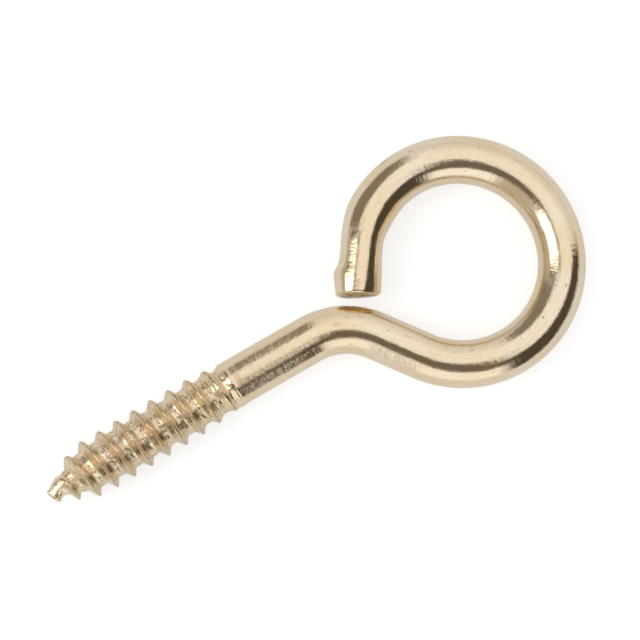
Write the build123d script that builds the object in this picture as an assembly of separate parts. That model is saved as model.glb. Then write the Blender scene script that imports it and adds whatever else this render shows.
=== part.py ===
"""Screw eye: one length of plated wire, threaded and pointed at one end, bent to an open eye at the other.

Millimetres. The thread's axis is X, the tip points to -X, and the eye lies flat in XY with +Z up.
The origin is on the thread's axis where the thread ends.
"""
from build123d import *
from math import acos, atan2, cos, degrees, hypot, pi, radians, sin, tan
import os

# Wire and its bends, in the order they follow each other from the end of the thread.
WIRE_D = 3.2            # plain shank and eye
SHANK_A = 0.5           # straight, still on the thread's axis
SET_R, SET_DEG = 70.0, 1.1          # the shank's slight set to one side
SHANK_B = 3.85          # straight, up to the neck
NECK_R, NECK_DEG = 4.9, 53.5        # bend that throws the wire to the side of the eye
EYE_D = 10.2            # inside of the eye on its first arc
EYE_FIRST, EYE_SECOND = 110.7, 90.8     # turns of the eye's first two arcs; the third is worked out
EYE_EASE, EYE_NIP = 0.25, -0.2      # the second and third arcs' radius against the first: barely out of round
EYE_OFF = 0.93          # the first arc's centre lies this far to the -Y side of the thread's axis
END = 3.4               # straight stretch that comes back to the neck
CUT_GAP = 0.66          # between the neck's surface and the middle of the cut

# The cut end, as a half profile along the last straight.
PINCH, PINCH_BACK = 0.15, 2.6       # depth of the cutter's squeeze, and how far back from the end
FLARE, FLARE_BACK = 0.03, 1.7       # the swelling beyond it stays this far under the wire's surface
CUT_EDGE = 0.22         # rounded edge of the cut face
CUT_LEAN = 9.0          # the cut face leans back by this much, towards +Z

# Thread.
THREAD_L = 14.6         # from the tip to the end of the thread
PITCH = 4.0 / 3.0
ROOT = 0.17             # the core lies this deep under the wire's surface
CREST = 0.4             # the crests stand this far out of the wire's surface at the tip end
CREST_LAST = 0.27       # and this far at the eye end
RIDGE_BASE, RIDGE_CREST = 0.9, 0.2      # width of the ridge at its foot and at its crest
RIDGE_SINK = 0.15       # how deep the foot is buried in the core
RUN_OUT = 1.5           # length over which the ridge sinks into the plain shank
SHANK_CONE = 0.9        # length over which the core widens to the plain shank
START_PHASE = 0.175     # how far before the origin the ridge stands on the +Y side, in pitches
RIDGE_START, RIDGE_STOP = 0.45, 0.1     # the ridge's ends, from the tip and from the origin
STEPS = 20              # points per turn on the ridge's edges

# Point: a blunt cone, broken off at the end and nipped flat on two sides.
POINT_L = 3.4
POINT_BELLY = 0.05      # the cone bulges by this much half way
POINT_SWELL = 0.8       # below 1 the crests rise quickly from the tip
TIP_D = 1.1
TIP_EDGE = 0.14
NIP_HALF, NIP_DEG = 0.36, 24.0      # half thickness at the tip, and how fast the flats open
NIP_TURN = 35.0         # how far the two flats are turned about the axis


def beside(curve, distance):
    """Point at this distance to the left of a curve's end."""
    ahead = curve % 1
    return curve @ 1 + Vector(-ahead.Y, ahead.X) * distance


def closing_turn(centre, radius, neck_centre):
    """Turn of the eye's last arc that leaves the cut CUT_GAP from the neck, END beyond the arc."""
    reach = hypot(radius, END)
    stand_off = NECK_R + WIRE_D / 2 + CUT_GAP
    apart = neck_centre - centre
    corner = acos((reach ** 2 + apart.length ** 2 - stand_off ** 2) / (2 * reach * apart.length))
    return atan2(apart.Y, apart.X) - corner - atan2(END, radius)


def wire_path():
    """Centreline from the end of the thread to the end of the eye's last arc."""
    run = [Line((0, 0), (SHANK_A, 0))]

    def bend(radius, turn):
        run.append(JernArc(start=run[-1] @ 1, tangent=run[-1] % 1, radius=radius, arc_size=turn))

    def straight(length):
        start = run[-1] @ 1
        run.append(Line(start, start + (run[-1] % 1) * length))

    bend(SET_R, -SET_DEG)
    straight(SHANK_B)
    neck_centre = beside(run[-1], -NECK_R)
    bend(NECK_R, -NECK_DEG)

    first = (EYE_D + WIRE_D) / 2
    ahead = run[-1] % 1
    straight((-EYE_OFF - beside(run[-1], first).Y) / ahead.Y)
    bend(first, EYE_FIRST)
    bend(first + EYE_EASE, EYE_SECOND)
    last = first + EYE_NIP
    centre = beside(run[-1], last)
    outward = run[-1] @ 1 - centre
    turn = closing_turn(centre, last, neck_centre) - atan2(outward.Y, outward.X)
    bend(last, degrees(turn) % 360)
    return Wire([piece.edge() for piece in run])


def wire_body(path):
    """Round wire along the centreline."""
    return sweep(Plane(origin=path @ 0, z_dir=path % 0) * Circle(WIRE_D / 2), path=path)


def cut_end(path):
    """Last straight stretch: squeezed, swollen, then sheared off with a leaning face."""
    wire = WIRE_D / 2
    flare = wire - FLARE
    beyond = END + flare * tan(radians(CUT_LEAN))
    side = Spline(
        (wire, 0), (wire - PINCH, END - PINCH_BACK), (flare, END - FLARE_BACK),
        tangents=((0, 1), (0, 1)),
    )
    rest = Polyline((flare, END - FLARE_BACK), (flare, beyond), (0, beyond), (0, 0), (wire, 0))
    turned = revolve(Plane.XZ * make_face(side + rest), Axis.Z)
    lean = Plane.XY.offset(END).rotated((CUT_LEAN, 0, 0))
    body = split(turned, bisect_by=lean, keep=Keep.BOTTOM)
    body = fillet(body.faces().sort_by(Axis.Z)[-1].edges(), CUT_EDGE)
    # Local Z runs along the wire's end and local Y points down, so the cut leans to +Z.
    along = path % 1
    place = Plane(origin=path @ 1, x_dir=along.cross(Vector(0, 0, -1)), z_dir=along)
    return place * body


def core_profile():
    """Half outline of the core's side, from the point's end to the plain shank."""
    shank = WIRE_D / 2
    half = shank - ROOT
    head = -THREAD_L + POINT_L
    belly = (head - THREAD_L) / 2
    return Spline(
        (-THREAD_L, TIP_D / 2), (belly, (TIP_D / 2 + half) / 2 + POINT_BELLY), (head, half),
        ((head - SHANK_CONE) / 2, half), (-3 * SHANK_CONE, half), (-2 * SHANK_CONE, half),
        (-SHANK_CONE, half), (0, shank),
        tangents=((POINT_L, half - TIP_D / 2), (1, 0)),
    )


def core_radius(x):
    """Radius of the core under the ridge, near enough to bury the ridge's foot."""
    climb = min(1.0, (x + THREAD_L) / POINT_L)
    return TIP_D / 2 + (WIRE_D / 2 - ROOT - TIP_D / 2) * climb


def crest_radius(x):
    """Height of the ridge's crest above the axis: up the point, along the thread, then into the shank."""
    full, last = WIRE_D / 2 + CREST, WIRE_D / 2 + CREST_LAST
    head = -THREAD_L + POINT_L
    if x < head:
        return TIP_D / 2 + (full - TIP_D / 2) * ((x + THREAD_L) / POINT_L) ** POINT_SWELL
    if x < -RUN_OUT:
        return full + (last - full) * (x - head) / (-RUN_OUT - head)
    return last + (WIRE_D / 2 - RIDGE_SINK - last) * (x + RUN_OUT) / RUN_OUT


def core():
    """Core of the thread, ending in a blunt cone."""
    side = core_profile()
    body = revolve(make_face(side + Polyline(side @ 1, (0, 0), (-THREAD_L, 0), side @ 0)), Axis.X)
    tip = body.faces().sort_by(Axis.X)[0]
    return chamfer(tip.edges(), TIP_EDGE)


def ridge():
    """The thread's ridge, four ruled faces between four long edges, tapered at both ends."""
    first, last = -THREAD_L + RIDGE_START, -RIDGE_STOP
    count = int((last - first) / PITCH * STEPS)
    rails = ([], [], [], [])
    for i in range(count + 1):
        x = first + (last - first) * i / count
        turn = 2 * pi * (x / PITCH + START_PHASE)
        low = core_radius(x) - RIDGE_SINK
        high = crest_radius(x)
        grow = min(1.0, (high - low) / (CREST + ROOT))
        foot = RIDGE_BASE / 2 * (1 + 2 * grow) / 3
        top = RIDGE_CREST / 2 * (1 + grow) / 2
        for rail, radius, along in zip(rails, (low, high, high, low), (-foot, -top, top, foot)):
            rail.append(Vector(x + along, radius * cos(turn), radius * sin(turn)))
    spacing = [i / count for i in range(count + 1)]
    edges = [Edge.make_spline(rail, parameters=spacing) for rail in rails]
    sides = [Face.make_surface_from_curves(edges[k], edges[(k + 1) % 4]) for k in range(4)]
    caps = [Face(Wire.make_polygon([rail[end] for rail in rails], close=True)) for end in (0, -1)]
    return Solid(Shell(sides + caps))


def nip(body):
    """Two flats on the very point, left where the wire was nipped apart."""
    for side in (0, 180):
        flat = Rot(X=NIP_TURN + side) * Pos(-THREAD_L, 0, NIP_HALF) * Rot(Y=-NIP_DEG)
        body -= flat * Box(2 * TIP_D, 4 * TIP_D, TIP_D, align=(Align.CENTER, Align.CENTER, Align.MIN))
    return body


def build():
    path = wire_path()
    threaded = nip(core() + ridge())
    return threaded + wire_body(path) + cut_end(path)


os.makedirs("parts", exist_ok=True)
eye = build()
eye.label = "screw_eye"
export_step(eye, "parts/screw_eye.step")
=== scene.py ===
"""Screw eye: the looks of one length of brass-plated wire, threaded, bent to an eye and cut off."""

import math

import bpy
import numpy as np
from mathutils import Matrix, Vector, noise

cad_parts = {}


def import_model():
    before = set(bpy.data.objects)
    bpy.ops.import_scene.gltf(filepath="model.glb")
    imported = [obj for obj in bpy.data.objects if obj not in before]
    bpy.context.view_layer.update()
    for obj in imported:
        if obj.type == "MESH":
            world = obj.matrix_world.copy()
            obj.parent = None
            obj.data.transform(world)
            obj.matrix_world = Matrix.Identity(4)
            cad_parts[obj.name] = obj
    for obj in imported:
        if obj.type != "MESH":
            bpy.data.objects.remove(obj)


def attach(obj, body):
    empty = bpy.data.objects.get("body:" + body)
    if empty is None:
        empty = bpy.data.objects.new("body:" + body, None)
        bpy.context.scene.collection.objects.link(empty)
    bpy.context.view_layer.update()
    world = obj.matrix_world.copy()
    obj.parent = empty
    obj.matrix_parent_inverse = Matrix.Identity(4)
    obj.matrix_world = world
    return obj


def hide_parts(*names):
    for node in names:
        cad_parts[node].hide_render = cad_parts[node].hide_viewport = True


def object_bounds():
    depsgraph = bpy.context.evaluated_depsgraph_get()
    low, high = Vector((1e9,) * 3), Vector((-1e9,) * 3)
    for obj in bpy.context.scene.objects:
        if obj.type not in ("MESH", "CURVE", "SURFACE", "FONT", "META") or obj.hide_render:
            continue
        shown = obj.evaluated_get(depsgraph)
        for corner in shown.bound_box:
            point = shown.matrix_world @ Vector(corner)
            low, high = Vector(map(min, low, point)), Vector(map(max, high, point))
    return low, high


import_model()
CAD_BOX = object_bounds()
MM = 0.001

# Lengths are in millimetres, apart from the CAD box and names that end in _M.
# s runs along the wire from the tip.

# ---- The wire's route, as in the CAD source ----
WIRE_R = 1.6
THREAD_L = 14.6
SHANK_A, SHANK_B = 0.5, 3.85
SET_R, SET_DEG = 70.0, 1.1
NECK_R, NECK_DEG = 4.9, 53.5
LEAD = 3.268            # straight between the neck and the eye
EYE = ((6.7, 110.7), (6.95, 90.8), (6.5, 85.63))    # radius and turn of the eye's three arcs
END = 3.4               # straight before the cut
SKIN = 0.009            # the drawn surface lies about this far under the wire's full radius
SKIN_EVEN, SKIN_WANDER = 0.85, 0.15     # the even and the wandering share of that
SKIN_GRAIN = 1.4

# ---- The thread: x is 0 where it ends and -THREAD_L at the tip. Each outline is (x, radius). ----
PITCH = 4.0 / 3.0
PHASE = 0.175           # the ridge stands on +Y this many pitches before x = 0
CORE = (
    (-14.6, 0.52), (-13.9, 0.60), (-13.1, 0.70), (-12.7, 0.86), (-12.3, 1.07), (-11.7, 1.28), (-11.0, 1.40),
    (-10.2, 1.43), (-1.25, 1.43), (-0.95, 1.37), (-0.50, 1.60), (-0.38, 1.625), (-0.2, 1.595),
)
CREST = (
    (-13.8, 0.62), (-13.5, 0.72), (-13.2, 0.86), (-12.85, 1.48), (-12.2, 1.66), (-11.5, 1.95),
    (-10.9, 1.975), (-6.0, 1.975), (-2.6, 1.87), (-1.6, 1.78), (-1.0, 1.66), (-0.5, 1.60),
)
OUTLINE_SOFT = 0.1      # kinks in an outline are spread this far to both sides
FLAT = 0.10             # width of a crest
FLANK_TIP, FLANK_EYE = 0.38, 0.31   # width of a ridge's two flanks
FOOT_SOFT, CREST_SOFT = 0.28, 0.26  # rounding of the ridge's foot and crest, as shares of its height
RIDGE_FADE = (-0.3, -0.8)           # the ridge is gone at the first x and whole at the second
RIDGED = (0.1, 0.3)     # the ridge's roughness and relief in the root, and its painted shade and reflections, come in as it rises from the first to the second
CREST_ONLY = 5.0        # how closely the painted dark reflection keeps to the crest
CREST_WEAR, WEAR_GRAIN = 0.035, 0.9 # dents along the crest
WORN_RISE = (0.15, 0.4) # dents come in as the ridge rises from the first to the second
FOLD, FOLD_AT, FOLD_W = 0.035, 0.03, 0.05   # fold left along the crest by rolling
DIMPLE, DIMPLE_GRAIN = 0.055, 0.48  # roughness of the root
DIMPLE_SINK = 0.2       # on the whole the roughness sinks the surface by this share of it
DIMPLE_CREST = 0.45     # share of it that the crests keep
ROOT_FADE = (-0.35, -0.7)           # the open root begins between these
ROUGH_EYE, ROUGH_TIP = (-0.2, -0.5), (-13.1, -13.5) # x at which it comes in, and goes out near the tip
SCORE, SCORE_W = 0.045, 0.05        # tool mark scored beside the shoulder
SCORE_X, SCORE_PHI, SCORE_SLANT = -0.3, 2.4, 0.2    # a point on it, and its slant
SCORE_FROM, SCORE_TO = (1.7, 2.2), (3.2, 2.8)       # angles at which it comes in and goes out

# ---- The point: a stub with two nip flats, a groove along each, and a leaning end set to one side ----
NIP_HALF, NIP_SLOPE, NIP_TURN = 0.38, 18.0, 80.0
NIP_SOFT = 0.12         # rounding between the flats and the rest of the stub
NIP_FLARE = 2.0         # beyond the stub the flats open by this much more per millimetre
CLEFT, CLEFT_W = 0.2, 0.14          # depth, and half width in radians
CLEFT_FROM, CLEFT_SWEEP = 115.0, 7.0   # where the groove starts at the very end, and how far it turns in 1 mm
CLEFT_WHOLE = 0.5       # its depth is full up to here
STUB = 1.1              # length of the shaped stub
STUB_ASIDE = -0.2       # the end is set this far along Y
STUB_BACK, STUB_LEAN = 0.18, -0.33  # the end face stands back, and leans with Y
STUB_SLIM, STUB_SLIM_L = 0.12, 0.8  # the +Y side is thinner by this at the end, fading over this length
LIP, LIP_AT, LIP_W = 0.07, 0.1, 0.22    # lip on the -Y side: height, distance from the end, width
TIP_EDGE = 0.07

# ---- The cut end: (distance from the cut, radius) on the eye's outside, its inside, and between them. ----
OUTSIDE = (
    (0.0, 1.29), (0.4, 1.36), (0.95, 1.52), (1.3, 1.62), (1.55, 1.56), (1.95, 1.38),
    (2.5, 1.31), (3.3, 1.33), (4.2, 1.42), (5.6, WIRE_R),
)
INSIDE = (
    (0.0, 1.66), (0.6, 1.68), (1.6, 1.60), (2.6, 1.51), (3.4, 1.46), (4.2, 1.48), (5.6, WIRE_R),
)
BETWEEN = ((0.0, 1.42), (1.0, 1.50), (4.2, WIRE_R))
CUT_LEAN = 2.0          # the cut face leans back by this much, towards +Z
CUT_SKEW = 8.0          # and by this much towards the inside of the eye,
CUT_MIDDLE = 0.2        # about a line this far outside the wire's middle
CUT_FADE = 1.5          # the lean is spread over this length
CUT_EDGE = 0.2
SIDES_ONLY = 4.0        # how closely the squeeze keeps to the two sides
SHEARED = 1.6           # the sheared faces look as rough as this depth of the root, and take the root's painted gold reflection and painted shade
SHEAR, SHEAR_GRAIN = 0.08, 0.5      # roughness of the sheared faces
SHEAR_STRETCH = (1.0, 1.0, 2.2)     # its grain is flatter along Z
SHEAR_RIM = 6           # how closely the smooth rim keeps to the edge

# ---- Mesh ----
AROUND = 108
THREAD_STEP, WIRE_STEP, END_STEP = 0.03, 0.18, 0.09
THREAD_PAST = 0.6       # the thread's fine steps go this far beyond it
END_L = 5.8             # length of the finely stepped stretch before the cut
EDGE_ROWS = 6
CAP_RINGS = 14


def smooth(low, high, x):
    """0 at low, 1 at high, smooth between."""
    t = np.clip((x - low) / (high - low), 0.0, 1.0)
    return t * t * (3 - 2 * t)


def bell(x, centre, width):
    return np.exp(-((x - centre) / width) ** 2)


def soft_max(a, b, blend):
    return np.maximum(a, b) + np.maximum(blend - np.abs(a - b), 0.0) ** 2 / (4 * blend)


def outline(x, points):
    """Radius along an outline, with its corners rounded off."""
    places, radii = zip(*points)
    shifts = np.linspace(-OUTLINE_SOFT, OUTLINE_SOFT, 7)
    return sum(np.interp(x + shift, places, radii) for shift in shifts) / len(shifts)


def rounded(distance, edge):
    """How far an edge of this radius draws the surface in, at each distance from the end."""
    t = np.clip(1 - distance / edge, 0, 1)
    return edge * (1 - np.sqrt(1 - t * t))


def fractal(points, size, octaves=3, seed=0.0):
    """Smooth noise from -1 to 1 at each point; size is its largest grain."""
    flat = points.reshape(-1, 3) / size + seed
    values = [noise.fractal(Vector(p), 1.0, 2.0, octaves) for p in flat]
    return np.clip(np.array(values).reshape(points.shape[:-1]), -1, 1)


# ---- The wire ----
def route():
    """(length, curvature) of each stretch of the centreline, from the tip to the cut."""
    arcs = [(radius * math.radians(turn), 1 / radius) for radius, turn in EYE]
    return [
        (THREAD_L + SHANK_A, 0.0),
        (SET_R * math.radians(SET_DEG), -1 / SET_R),
        (SHANK_B, 0.0),
        (NECK_R * math.radians(NECK_DEG), -1 / NECK_R),
        (LEAD, 0.0), *arcs, (END, 0.0),
    ]


TOTAL = sum(length for length, bend in route())


def along_route(s):
    """Centre and heading at each distance s from the tip."""
    x, y, angle, start = -THREAD_L, 0.0, 0.0, 0.0
    px, py, heading = np.zeros_like(s), np.zeros_like(s), np.zeros_like(s)
    for length, bend in route():
        here = (s >= start) & (s <= start + length + 1e-9)
        d = s[here] - start
        end = angle + bend * length
        if bend:
            px[here] = x + (np.sin(angle + bend * d) - math.sin(angle)) / bend
            py[here] = y - (np.cos(angle + bend * d) - math.cos(angle)) / bend
            x += (math.sin(end) - math.sin(angle)) / bend
            y -= (math.cos(end) - math.cos(angle)) / bend
        else:
            px[here] = x + d * math.cos(angle)
            py[here] = y + d * math.sin(angle)
            x += length * math.cos(angle)
            y += length * math.sin(angle)
        heading[here] = angle + bend * d
        angle = end
        start += length
    return px, py, heading


def ridge_share(x, phi):
    """1 on the thread's crest, 0 in its root, and the signed distance from the crest."""
    from_crest = ((x / PITCH + PHASE - phi / (2 * math.pi) + 0.5) % 1 - 0.5) * PITCH
    flank = np.where(from_crest < 0, FLANK_TIP, FLANK_EYE)
    climb = 1 - (np.abs(from_crest) - FLAT / 2) / flank
    share = soft_max(climb, 0.0, FOOT_SOFT)
    return -soft_max(-share, -1.0, CREST_SOFT), from_crest


def threaded(x, phi, place):
    """Radius of the threaded stretch, how deep in the root each point lies, and how near the crest."""
    core = outline(x, CORE)
    rise = np.maximum(outline(x, CREST) - core, 0.0) * smooth(*RIDGE_FADE, x)
    share, from_crest = ridge_share(x, phi)
    worn = 0.5 + 0.5 * fractal(place, WEAR_GRAIN, 3, seed=7.0)
    fold = FOLD * bell(from_crest, FOLD_AT, FOLD_W) * np.clip(2 * worn - 0.5, 0, 1)
    dents = (fold + CREST_WEAR * worn * share) * smooth(*WORN_RISE, rise)
    open_root = (1 - share) * smooth(*ROOT_FADE, x)
    kept = DIMPLE_CREST + (1 - DIMPLE_CREST) * open_root
    rough = DIMPLE * (fractal(place, DIMPLE_GRAIN, 4, seed=3.0) - DIMPLE_SINK) * kept
    rough = rough * smooth(*ROUGH_EYE, x) * (1 - smooth(*ROUGH_TIP, x))
    score_x = SCORE_X + SCORE_SLANT * (phi - SCORE_PHI)
    scored = SCORE * bell(x, score_x, SCORE_W) * (smooth(*SCORE_FROM, phi) * smooth(*SCORE_TO, phi))
    ridged = smooth(*RIDGED, rise)
    return core + rise * share - dents + rough - scored, open_root * ridged, share ** CREST_ONLY * ridged


def pointed(back, phi, radius):
    """The stub's flats, grooves and lips, at each distance back from the very end."""
    for side in (0.0, math.pi):
        facing = np.cos(phi - math.radians(NIP_TURN) - side)
        half = NIP_HALF + math.tan(math.radians(NIP_SLOPE)) * back + NIP_FLARE * np.maximum(back - STUB, 0)
        flat = half / np.maximum(facing, 0.05)
        radius = -soft_max(-radius, -flat, NIP_SOFT)
        cleft = math.radians(CLEFT_FROM) - math.radians(CLEFT_SWEEP) * back + side
        away = (phi - cleft + math.pi) % (2 * math.pi) - math.pi
        radius = radius - CLEFT * bell(away, 0, CLEFT_W) * smooth(STUB, CLEFT_WHOLE, back)
    left, right = np.maximum(np.cos(phi), 0), np.maximum(-np.cos(phi), 0)
    slimmed = STUB_SLIM * left * smooth(STUB_SLIM_L, 0.0, back)
    return radius - slimmed + LIP * right * bell(back, LIP_AT, LIP_W)


def plain(s, phi, place):
    """Radius of the plain shank and eye, down to the squeezed and sheared end."""
    back = TOTAL - s
    outward, inward = np.maximum(-np.cos(phi), 0), np.maximum(np.cos(phi), 0)
    between = outline(back, BETWEEN)
    radius = between + outward ** SIDES_ONLY * (outline(back, OUTSIDE) - between)
    radius += inward ** SIDES_ONLY * (outline(back, INSIDE) - between)
    skin = SKIN * (SKIN_EVEN + SKIN_WANDER * fractal(place, SKIN_GRAIN, 2, seed=11.0))
    return radius - skin - rounded(back, CUT_EDGE)


def stops():
    """Distances from the tip at which the wire's rings stand."""
    turn = np.arange(EDGE_ROWS) / EDGE_ROWS * math.pi / 2
    fine_from = TOTAL - END_L
    threaded_to = THREAD_L + THREAD_PAST
    return np.concatenate([
        TIP_EDGE * (1 - np.cos(turn)),
        np.arange(TIP_EDGE, threaded_to, THREAD_STEP),
        np.arange(threaded_to, fine_from, WIRE_STEP),
        np.arange(fine_from, TOTAL - CUT_EDGE, END_STEP),
        TOTAL - CUT_EDGE * (1 - np.sin(turn)), [TOTAL],
    ])


def build_wire():
    """Rings of points along the whole route, with each point's place on the straightened wire."""
    phi = np.arange(AROUND) * 2 * math.pi / AROUND
    s, a = np.meshgrid(stops(), phi, indexing="ij")
    x = s - THREAD_L
    place = np.stack([s, WIRE_R * np.cos(a), WIRE_R * np.sin(a)], -1)
    screw, depth, crest = threaded(x, a, place)
    screw = pointed(s, a, screw) - rounded(s, TIP_EDGE)
    radius = np.where(x < 0, screw, plain(s, a, place))
    px, py, heading = along_route(s)
    side = radius * np.cos(a) + STUB_ASIDE * smooth(STUB, 0.2, s)
    up = radius * np.sin(a)
    shift = (STUB_BACK + STUB_LEAN * side) * smooth(STUB, 0.0, s)
    lean = math.tan(math.radians(CUT_LEAN)) * up + math.tan(math.radians(CUT_SKEW)) * (side + CUT_MIDDLE)
    shift -= lean * smooth(CUT_FADE, 0.0, TOTAL - s)
    px = px + np.cos(heading) * shift - np.sin(heading) * side
    py = py + np.sin(heading) * shift + np.cos(heading) * side
    return np.stack([px, py, up], -1), place, np.stack([depth, crest], -1)


def cap(rim, place, outward_sign, seed):
    """Rings that close one end with a rough sheared face, down to a centre point."""
    centre = rim.mean(0)
    arms = rim - centre
    outward = np.cross(arms, np.roll(arms, -1, 0)).sum(0)
    outward *= outward_sign / np.linalg.norm(outward)
    share = (1 - np.arange(1, CAP_RINGS) / CAP_RINGS)[:, None, None]
    rings = centre + arms * share
    rough = SHEAR * fractal(rings * SHEAR_STRETCH, SHEAR_GRAIN, 4, seed) * (1 - share[..., 0] ** SHEAR_RIM)
    rings = rings + rough[..., None] * outward
    middle = rings[-1].mean(0)[None]
    places = place.mean(0) + (place - place.mean(0)) * share
    return rings, middle, places


def close_mesh(points, place, depth_and_crest):
    """Vertices, faces, places, and depth and crest of the tube and its two caps.

    Depth and crest are how deep in the root a point lies, and how near the crest; the material uses them for
    roughness and relief, and for painted shade and painted reflections.
    """
    rows, cols = points.shape[:2]
    verts, places = [points.reshape(-1, 3)], [place.reshape(-1, 3)]
    faces = []

    def strip(lower, upper, flip):
        for j in range(cols):
            k = (j + 1) % cols
            quad = (lower + j, lower + k, upper + k, upper + j)
            faces.append(quad[::-1] if flip else quad)

    for i in range(rows - 1):
        strip(i * cols, (i + 1) * cols, False)
    at = rows * cols
    for row, flip, sign in ((0, True, -1), (rows - 1, False, 1)):
        rings, middle, ring_places = cap(points[row], place[row], sign, 20.0 + sign)
        verts += [rings.reshape(-1, 3), middle]
        places += [ring_places.reshape(-1, 3), ring_places[-1].mean(0)[None]]
        inner = row * cols
        for _ in range(CAP_RINGS - 1):
            strip(inner, at, flip)
            inner = at
            at += cols
        for j in range(cols):
            k = (j + 1) % cols
            tri = (inner + j, inner + k, at)
            faces.append(tri[::-1] if flip else tri)
        at += 1
    verts, places = np.concatenate(verts), np.concatenate(places)
    # worn holds each point's root depth and nearness to the crest, which the material uses for roughness and
    # relief, and for painted shade and painted reflections
    worn = np.tile((SHEARED, 0.0), (len(verts), 1))
    worn[: rows * cols] = depth_and_crest.reshape(-1, 2)
    return verts, faces, places, worn


def make_piece():
    """The wire as one mesh, with places, root depth and nearness to the crest stored on its points for the
    material's roughness and relief, and its painted shade and painted reflections.
    """
    verts, faces, places, worn = close_mesh(*build_wire())
    mesh = bpy.data.meshes.new("screw_eye_wire")
    mesh.from_pydata((verts * MM).tolist(), [], faces)
    mesh.polygons.foreach_set("use_smooth", [True] * len(mesh.polygons))
    place = mesh.attributes.new("wire_place", "FLOAT_VECTOR", "POINT")
    place.data.foreach_set("vector", places.astype(np.float32).ravel())
    for name, values in zip(("root_depth", "crest"), worn.T):
        data = mesh.attributes.new(name, "FLOAT", "POINT").data
        data.foreach_set("value", np.ascontiguousarray(values, dtype=np.float32))
    mesh.validate()
    mesh.update()
    piece = bpy.data.objects.new("screw_eye_wire", mesh)
    bpy.context.scene.collection.objects.link(piece)
    return piece


# ---- Materials. Grain is sized on the straightened wire, in millimetres. ----
# Full depth of the finish's relief: ripples across the wire, drawing lines along it, pits and grain.
RIPPLE_M, LINE_M, PIT_M, GRAIN_M = 0.000015, 0.000009, 0.000024, 0.000003
SCUFFED_TO, SCUFF_FADE = 20.0, 2.0  # the wire is scuffed up to the first, fading over the second before it
MARK_REACH, MARK_EDGE = 1.3, 1.6    # a mark reaches this many half sizes, and how sharp its edge is
# Stains and specks: distance from the tip, side and height on the wire as shares of its radius, half length
# and half width.
STAINS = (
    (22.1, 0.15, 0.99, 0.26, 0.16), (26.7, 0.38, 0.92, 0.30, 0.05), (42.4, -0.6, 0.80, 0.9, 0.16),
    (14.75, 0.05, 1.0, 0.22, 0.28), (52.9, -0.34, 0.94, 0.05, 0.16), (51.1, -0.45, 0.89, 0.05, 0.12),
    (31.5, 0.49, 0.87, 0.16, 0.10), (35.2, 0.19, 0.98, 0.05, 0.14),
)
SPECKS = (
    (39.9, -0.19, 0.98, 0.11, 0.05), (37.3, 0.14, 0.99, 0.06, 0.09), (23.1, -0.67, 0.74, 0.16, 0.03),
    (56.7, -0.9, 0.43, 0.24, 0.05), (25.4, 0.3, 0.95, 0.07, 0.04), (41.2, -0.63, 0.77, 0.05, 0.04),
)

# Colours of the finish, and of the painted reflections and shade.
CREAM, PALE = (0.865, 0.705, 0.485), (0.885, 0.755, 0.58)
STREAK = (0.62, 0.46, 0.26)
# painted reflection: gold that stands in for light thrown between the thread's flanks into its root
PAINTED_GOLD_REFLECTION = (0.80, 0.58, 0.26)
# painted shade: dark blotches in the thread's root and on the sheared faces
PAINTED_SHADE = (0.30, 0.20, 0.10)
# painted reflection: dark that stands in for dark surroundings mirrored along the thread's crest
PAINTED_CREST_DARK = (0.44, 0.30, 0.14)
STAIN = (0.62, 0.41, 0.16)
FRECKLE = (0.50, 0.33, 0.15)
SPECK = (0.30, 0.19, 0.09)


class Tree:
    """Short calls for one material's or world's nodes."""

    def __init__(self, owner):
        owner.use_nodes = True
        self.nodes = owner.node_tree.nodes
        self.links = owner.node_tree.links
        self.nodes.clear()

    def add(self, kind, inputs=(), **settings):
        node = self.nodes.new("ShaderNode" + kind)
        for name, value in settings.items():
            setattr(node, name, value)
        for key, value in inputs:
            if isinstance(value, bpy.types.NodeSocket):
                self.links.new(value, node.inputs[key])
            else:
                node.inputs[key].default_value = value
        return node

    def math(self, operation, a, b=0.0, c=0.0):
        return self.add("Math", ((0, a), (1, b), (2, c)), operation=operation).outputs[0]

    def vector(self, operation, a, b=(0, 0, 0)):
        node = self.add("VectorMath", ((0, a), (1, b)), operation=operation)
        return node.outputs["Value" if operation == "LENGTH" else "Vector"]

    def noise(self, place, size, detail=3.0, rough=0.55):
        settings = (("Vector", place), ("Scale", 1 / size), ("Detail", detail), ("Roughness", rough))
        return self.add("TexNoise", settings).outputs["Fac"]

    def ramp(self, source, *stops):
        node = self.add("ValToRGB", ((0, source),))
        elements = node.color_ramp.elements
        while len(elements) < len(stops):
            elements.new(1.0)
        for element, (position, colour) in zip(elements, stops):
            element.position = position
            element.color = (*colour, 1) if isinstance(colour, tuple) else (colour, colour, colour, 1)
        return node.outputs[0]

    def blend(self, share, under, colour):
        node = self.add("MixRGB", (("Fac", share), ("Color1", under), ("Color2", (*colour, 1))))
        return node.outputs[0]


def marks(tree, place, spots, uneven):
    """1 inside the listed spots, 0 away from them, with uneven edges."""
    total = 0.0
    for s, side, height, length, width in spots:
        away = tree.vector("SUBTRACT", place, (s, side * WIRE_R, height * WIRE_R))
        scaled = tree.vector("MULTIPLY", away, (1 / length, 1 / width, 1 / width))
        reach = tree.vector("LENGTH", scaled)
        inside = tree.math("SUBTRACT", tree.math("ADD", MARK_REACH, uneven), reach)
        total = tree.math("MAXIMUM", total, tree.math("MULTIPLY", inside, MARK_EDGE))
    return tree.math("MINIMUM", total, 1.0)


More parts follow.
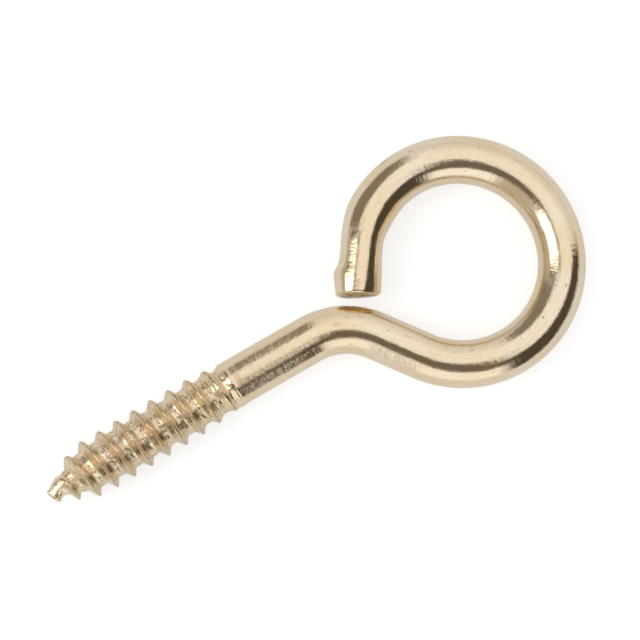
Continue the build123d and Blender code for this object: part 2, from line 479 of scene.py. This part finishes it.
def plated():
    """Pale brass plating on drawn wire: creamy and stained here and there, with a painted gold reflection and
    painted shade in the thread's root and on the sheared faces, and a painted dark reflection along the
    crest.
    """
    material = bpy.data.materials.new("brass_plate")
    tree = Tree(material)
    place = tree.add("Attribute", attribute_name="wire_place").outputs["Vector"]
    root = tree.add("Attribute", attribute_name="root_depth").outputs["Fac"]
    crest = tree.add("Attribute", attribute_name="crest").outputs["Fac"]
    lengthwise = tree.vector("MULTIPLY", place, (0.2, 1.0, 1.0))
    crosswise = tree.vector("MULTIPLY", place, (1.0, 0.4, 0.4))
    broad = tree.noise(place, 3.0)
    fine = tree.noise(place, 0.22, 4.0)
    lines = tree.noise(lengthwise, 0.14, 4.0, 0.65)
    ripple = tree.noise(crosswise, 0.26, 4.0, 0.6)
    pits = tree.noise(place, 0.3, 5.0, 0.65)
    uneven = tree.math("MULTIPLY_ADD", fine, 1.6, -0.8)

    cream = tree.ramp(broad, (0.38, CREAM), (0.62, PALE))
    streaked = tree.blend(tree.ramp(lines, (0.35, 0.16), (0.6, 0.0)), cream, STREAK)
    # painted reflection: gold laid into the thread's root and onto the sheared faces, in place of light
    # thrown between the flanks
    with_painted_gold = tree.blend(tree.math("MULTIPLY", root, 0.16), streaked, PAINTED_GOLD_REFLECTION)
    # painted shade: darkening in the thread's root and on the sheared faces, in pitted patches
    painted_shade = tree.math("MULTIPLY", root, tree.ramp(pits, (0.52, 0.0), (0.66, 0.75)))
    with_painted_shade = tree.blend(painted_shade, with_painted_gold, PAINTED_SHADE)
    # painted reflection: a dark line along the crest, in place of the dark it mirrors
    painted_crest_dark = tree.math("MULTIPLY", crest, tree.ramp(fine, (0.35, 0.4), (0.6, 0.9)))
    with_painted_crest_dark = tree.blend(painted_crest_dark, with_painted_shade, PAINTED_CREST_DARK)
    stain = tree.math("MULTIPLY", marks(tree, place, STAINS, uneven), 0.45)
    stained = tree.blend(stain, with_painted_crest_dark, STAIN)
    pepper = tree.ramp(tree.noise(place, 0.5, 2.0), (0.66, 0.0), (0.74, 0.6))
    freckled = tree.blend(tree.math("MULTIPLY", pepper, fine), stained, FRECKLE)
    dark = marks(tree, place, SPECKS, uneven)
    colour = tree.blend(tree.math("MULTIPLY", dark, 0.85), freckled, SPECK)

    along = tree.add("SeparateXYZ", ((0, place),)).outputs["X"]
    reach = (("Value", along), ("From Min", SCUFFED_TO), ("From Max", SCUFFED_TO - SCUFF_FADE))
    scuffed = tree.add("MapRange", reach).outputs[0]
    scuffs = tree.math("MULTIPLY", scuffed, tree.ramp(pits, (0.42, 0.0), (0.6, 0.2)))
    gloss = tree.ramp(fine, (0.35, 0.05), (0.7, 0.14))
    dull = tree.math("ADD", tree.math("MULTIPLY_ADD", root, 0.08, gloss), scuffs)

    jagged = tree.ramp(tree.noise(place, 1.6), (0.4, 0.5), (0.66, 1.0))
    pitted = tree.math("MULTIPLY_ADD", root, 0.8, tree.math("MULTIPLY_ADD", scuffed, 0.2, 0.18))
    skin = None
    for height, strength, depth in (
        (ripple, jagged, RIPPLE_M),
        (lines, 1.0, LINE_M),
        (pits, pitted, PIT_M),
        (tree.noise(place, 0.07, 2.0), 0.3, GRAIN_M),
    ):
        relief = [("Strength", strength), ("Distance", depth), ("Height", height)]
        skin = tree.add("Bump", relief + ([("Normal", skin)] if skin else [])).outputs[0]

    shader = tree.add("BsdfPrincipled", (
        ("Base Color", colour), ("Metallic", 1.0), ("Roughness", dull), ("Normal", skin),
    ))
    tree.add("OutputMaterial", (("Surface", shader.outputs[0]),))
    return material


PAPER = 0.7             # the floor's own colour
LIFT, LIFT_IN_METAL = 0.56, 0.22    # what brings it to white for the camera, and less so in reflections


def paper():
    """Pale paper that reads as white, and keeps the object's shadow."""
    material = bpy.data.materials.new("paper")
    tree = Tree(material)
    ray = tree.add("LightPath").outputs
    reflected = tree.math("MAXIMUM", ray["Is Glossy Ray"], ray["Is Transmission Ray"])
    in_metal = tree.math("MULTIPLY", reflected, LIFT_IN_METAL)
    lift = tree.math("MULTIPLY_ADD", ray["Is Camera Ray"], LIFT, in_metal)
    glow = tree.add("Emission", (("Strength", lift),))
    sheet = tree.add("BsdfDiffuse", (("Color", (PAPER, PAPER, PAPER, 1)),))
    both = tree.add("AddShader", ((0, sheet.outputs[0]), (1, glow.outputs[0])))
    tree.add("OutputMaterial", (("Surface", both.outputs[0]),))
    return material


def glow(name, colour):
    """Plain glowing material for a card."""
    material = bpy.data.materials.new(name)
    tree = Tree(material)
    light = tree.add("Emission", (("Color", (*colour, 1)), ("Strength", 1.0)))
    tree.add("OutputMaterial", (("Surface", light.outputs[0]),))
    return material


# ---- Studio ----
SENSOR_MM = 36.0
VIEW_MM = 42.39         # width of the view at the object
AIM = (1.588, 1.455)    # the view's middle from the middle of the CAD box
ROLL = 30.85            # the thread's axis rises this much across the view
TILT, TILT_FROM = 7.0, 240.0        # the camera leans off the vertical, towards this side of the view
CAMERA_MM = 420.0
CARD_MM, RIM_MM = 600.0, 640.0      # distance of the cards, and of a dark one that stands behind another
CARD_CELLS = 12
DIMMED = -0.3           # the dome lights matt surfaces by this much less
FLOOR_M = 3.0


def camera():
    """The camera, and the frame of its view: the point it looks at, and its turn."""
    data = bpy.data.cameras.new("camera")
    data.sensor_width = SENSOR_MM
    data.lens = data.sensor_width * CAMERA_MM / VIEW_MM
    data.clip_start, data.clip_end = 0.01, 10.0
    cam = bpy.data.objects.new("camera", data)
    bpy.context.scene.collection.objects.link(cam)
    bpy.context.scene.camera = cam
    middle = (CAD_BOX[0] + CAD_BOX[1]) / 2
    target = Vector((middle.x + AIM[0] * MM, middle.y + AIM[1] * MM, 0))
    lean, towards, roll = math.radians(TILT), math.radians(TILT_FROM - ROLL), math.radians(ROLL)
    back = Vector((math.sin(lean) * math.cos(towards), math.sin(lean) * math.sin(towards), math.cos(lean)))
    up = back.cross(Vector((math.cos(roll), -math.sin(roll), 0))).normalized()
    right = up.cross(back)
    turn = Matrix((right, up, back)).transposed()
    cam.matrix_world = Matrix.Translation(target + back * CAMERA_MM * MM) @ turn.to_4x4()
    return target, turn


def staged(name, verts, faces, material):
    """A thing of the set, which isn't part of the object."""
    mesh = bpy.data.meshes.new(name)
    mesh.from_pydata(verts, [], faces)
    mesh.materials.append(material)
    piece = bpy.data.objects.new(name, mesh)
    bpy.context.scene.collection.objects.link(piece)
    return piece


def mirrored(around, off, turn):
    """Direction that the wire, lying flat, mirrors where it seems to show something at these angles."""
    straight = turn @ Vector((0, 0, 1))
    side = turn @ Vector((math.cos(around), math.sin(around), 0))
    run = Vector((0, 0, 1)).cross(side).normalized()
    lean = straight.dot(run)
    return (straight * math.cos(off) + side * math.sin(off) - run * lean * (1 + math.cos(off))).normalized()


def card(name, around, near, far, colour, view, lights=False, reach=CARD_MM):
    """Part of a sphere about the object. Angles go round and off the camera's axis, in degrees.

    near and far are its two edges' angles off the axis, each at the first and the last angle round it.
    """
    target, turn = view
    verts, faces = [], []
    for i in range(CARD_CELLS + 1):
        a = math.radians(around[0] + (around[1] - around[0]) * i / CARD_CELLS)
        low = near[0] + (near[1] - near[0]) * i / CARD_CELLS
        high = far[0] + (far[1] - far[0]) * i / CARD_CELLS
        for j in range(CARD_CELLS + 1):
            z = math.radians(low + (high - low) * j / CARD_CELLS)
            verts.append(target + mirrored(a, z, turn) * reach * MM)
    for i in range(CARD_CELLS):
        for j in range(CARD_CELLS):
            k = i * (CARD_CELLS + 1) + j
            faces.append((k, k + 1, k + CARD_CELLS + 2, k + CARD_CELLS + 1))
    piece = staged(name, verts, faces, glow(name, colour))
    piece.visible_camera = False
    piece.visible_shadow = False
    piece.visible_diffuse = lights


def floor():
    low, size = CAD_BOX[0].z, FLOOR_M
    corners = [(-size, -size, low), (size, -size, low), (size, size, low), (-size, size, low)]
    staged("floor", corners, [(0, 1, 2, 3)], paper())


def world():
    """Soft even light, brightest overhead; plain white where the camera sees past the floor."""
    sky = bpy.data.worlds.new("studio")
    bpy.context.scene.world = sky
    tree = Tree(sky)
    ray = tree.add("LightPath").outputs
    towards = tree.add("TexCoord").outputs["Generated"]
    height = tree.add("SeparateXYZ", ((0, towards),)).outputs["Z"]
    tone = tree.ramp(height, (0.15, 0.74), (0.5, 0.84), (0.78, 1.0))
    level = tree.math("MULTIPLY_ADD", ray["Is Diffuse Ray"], DIMMED, 1.0)
    dome = tree.add("Background", (("Color", tone), ("Strength", level)))
    white = tree.add("Background", (("Color", (1, 1, 1, 1)), ("Strength", 1.0)))
    seen = tree.add("MixShader", ((0, ray["Is Camera Ray"]), (1, dome.outputs[0]), (2, white.outputs[0])))
    tree.add("OutputWorld", (("Surface", seen.outputs[0]),))


wire = make_piece()
wire.data.materials.append(plated())
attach(wire, "root")
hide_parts("screw_eye")

view = camera()
floor()
world()
card("flag_right", (296, 367), (24, 52), (88, 86), (0.08, 0.066, 0.052), view)
card("flag_camera", (214, 296), (0, 0), (27, 45), (0.17, 0.145, 0.12), view)
card("flag_upper_left", (116, 166), (44, 28), (82, 90), (0.25, 0.225, 0.19), view)
card("screen_left", (166, 246), (63, 63), (92, 92), (0.52, 0.49, 0.43), view)
card("screen_near_left", (214, 246), (27, 27), (63, 63), (0.55, 0.52, 0.44), view)
card("box_left", (177, 212), (16, 16), (60, 58), (2.4, 2.4, 2.35), view, True)
card("box_left_rim", (168, 217), (7, 7), (70, 68), (0.15, 0.135, 0.105), view, reach=RIM_MM)
card("box_near", (248, 291), (42, 46), (88, 88), (1.06, 1.08, 1.10), view, True)

bpy.context.scene.view_settings.view_transform = "Standard"
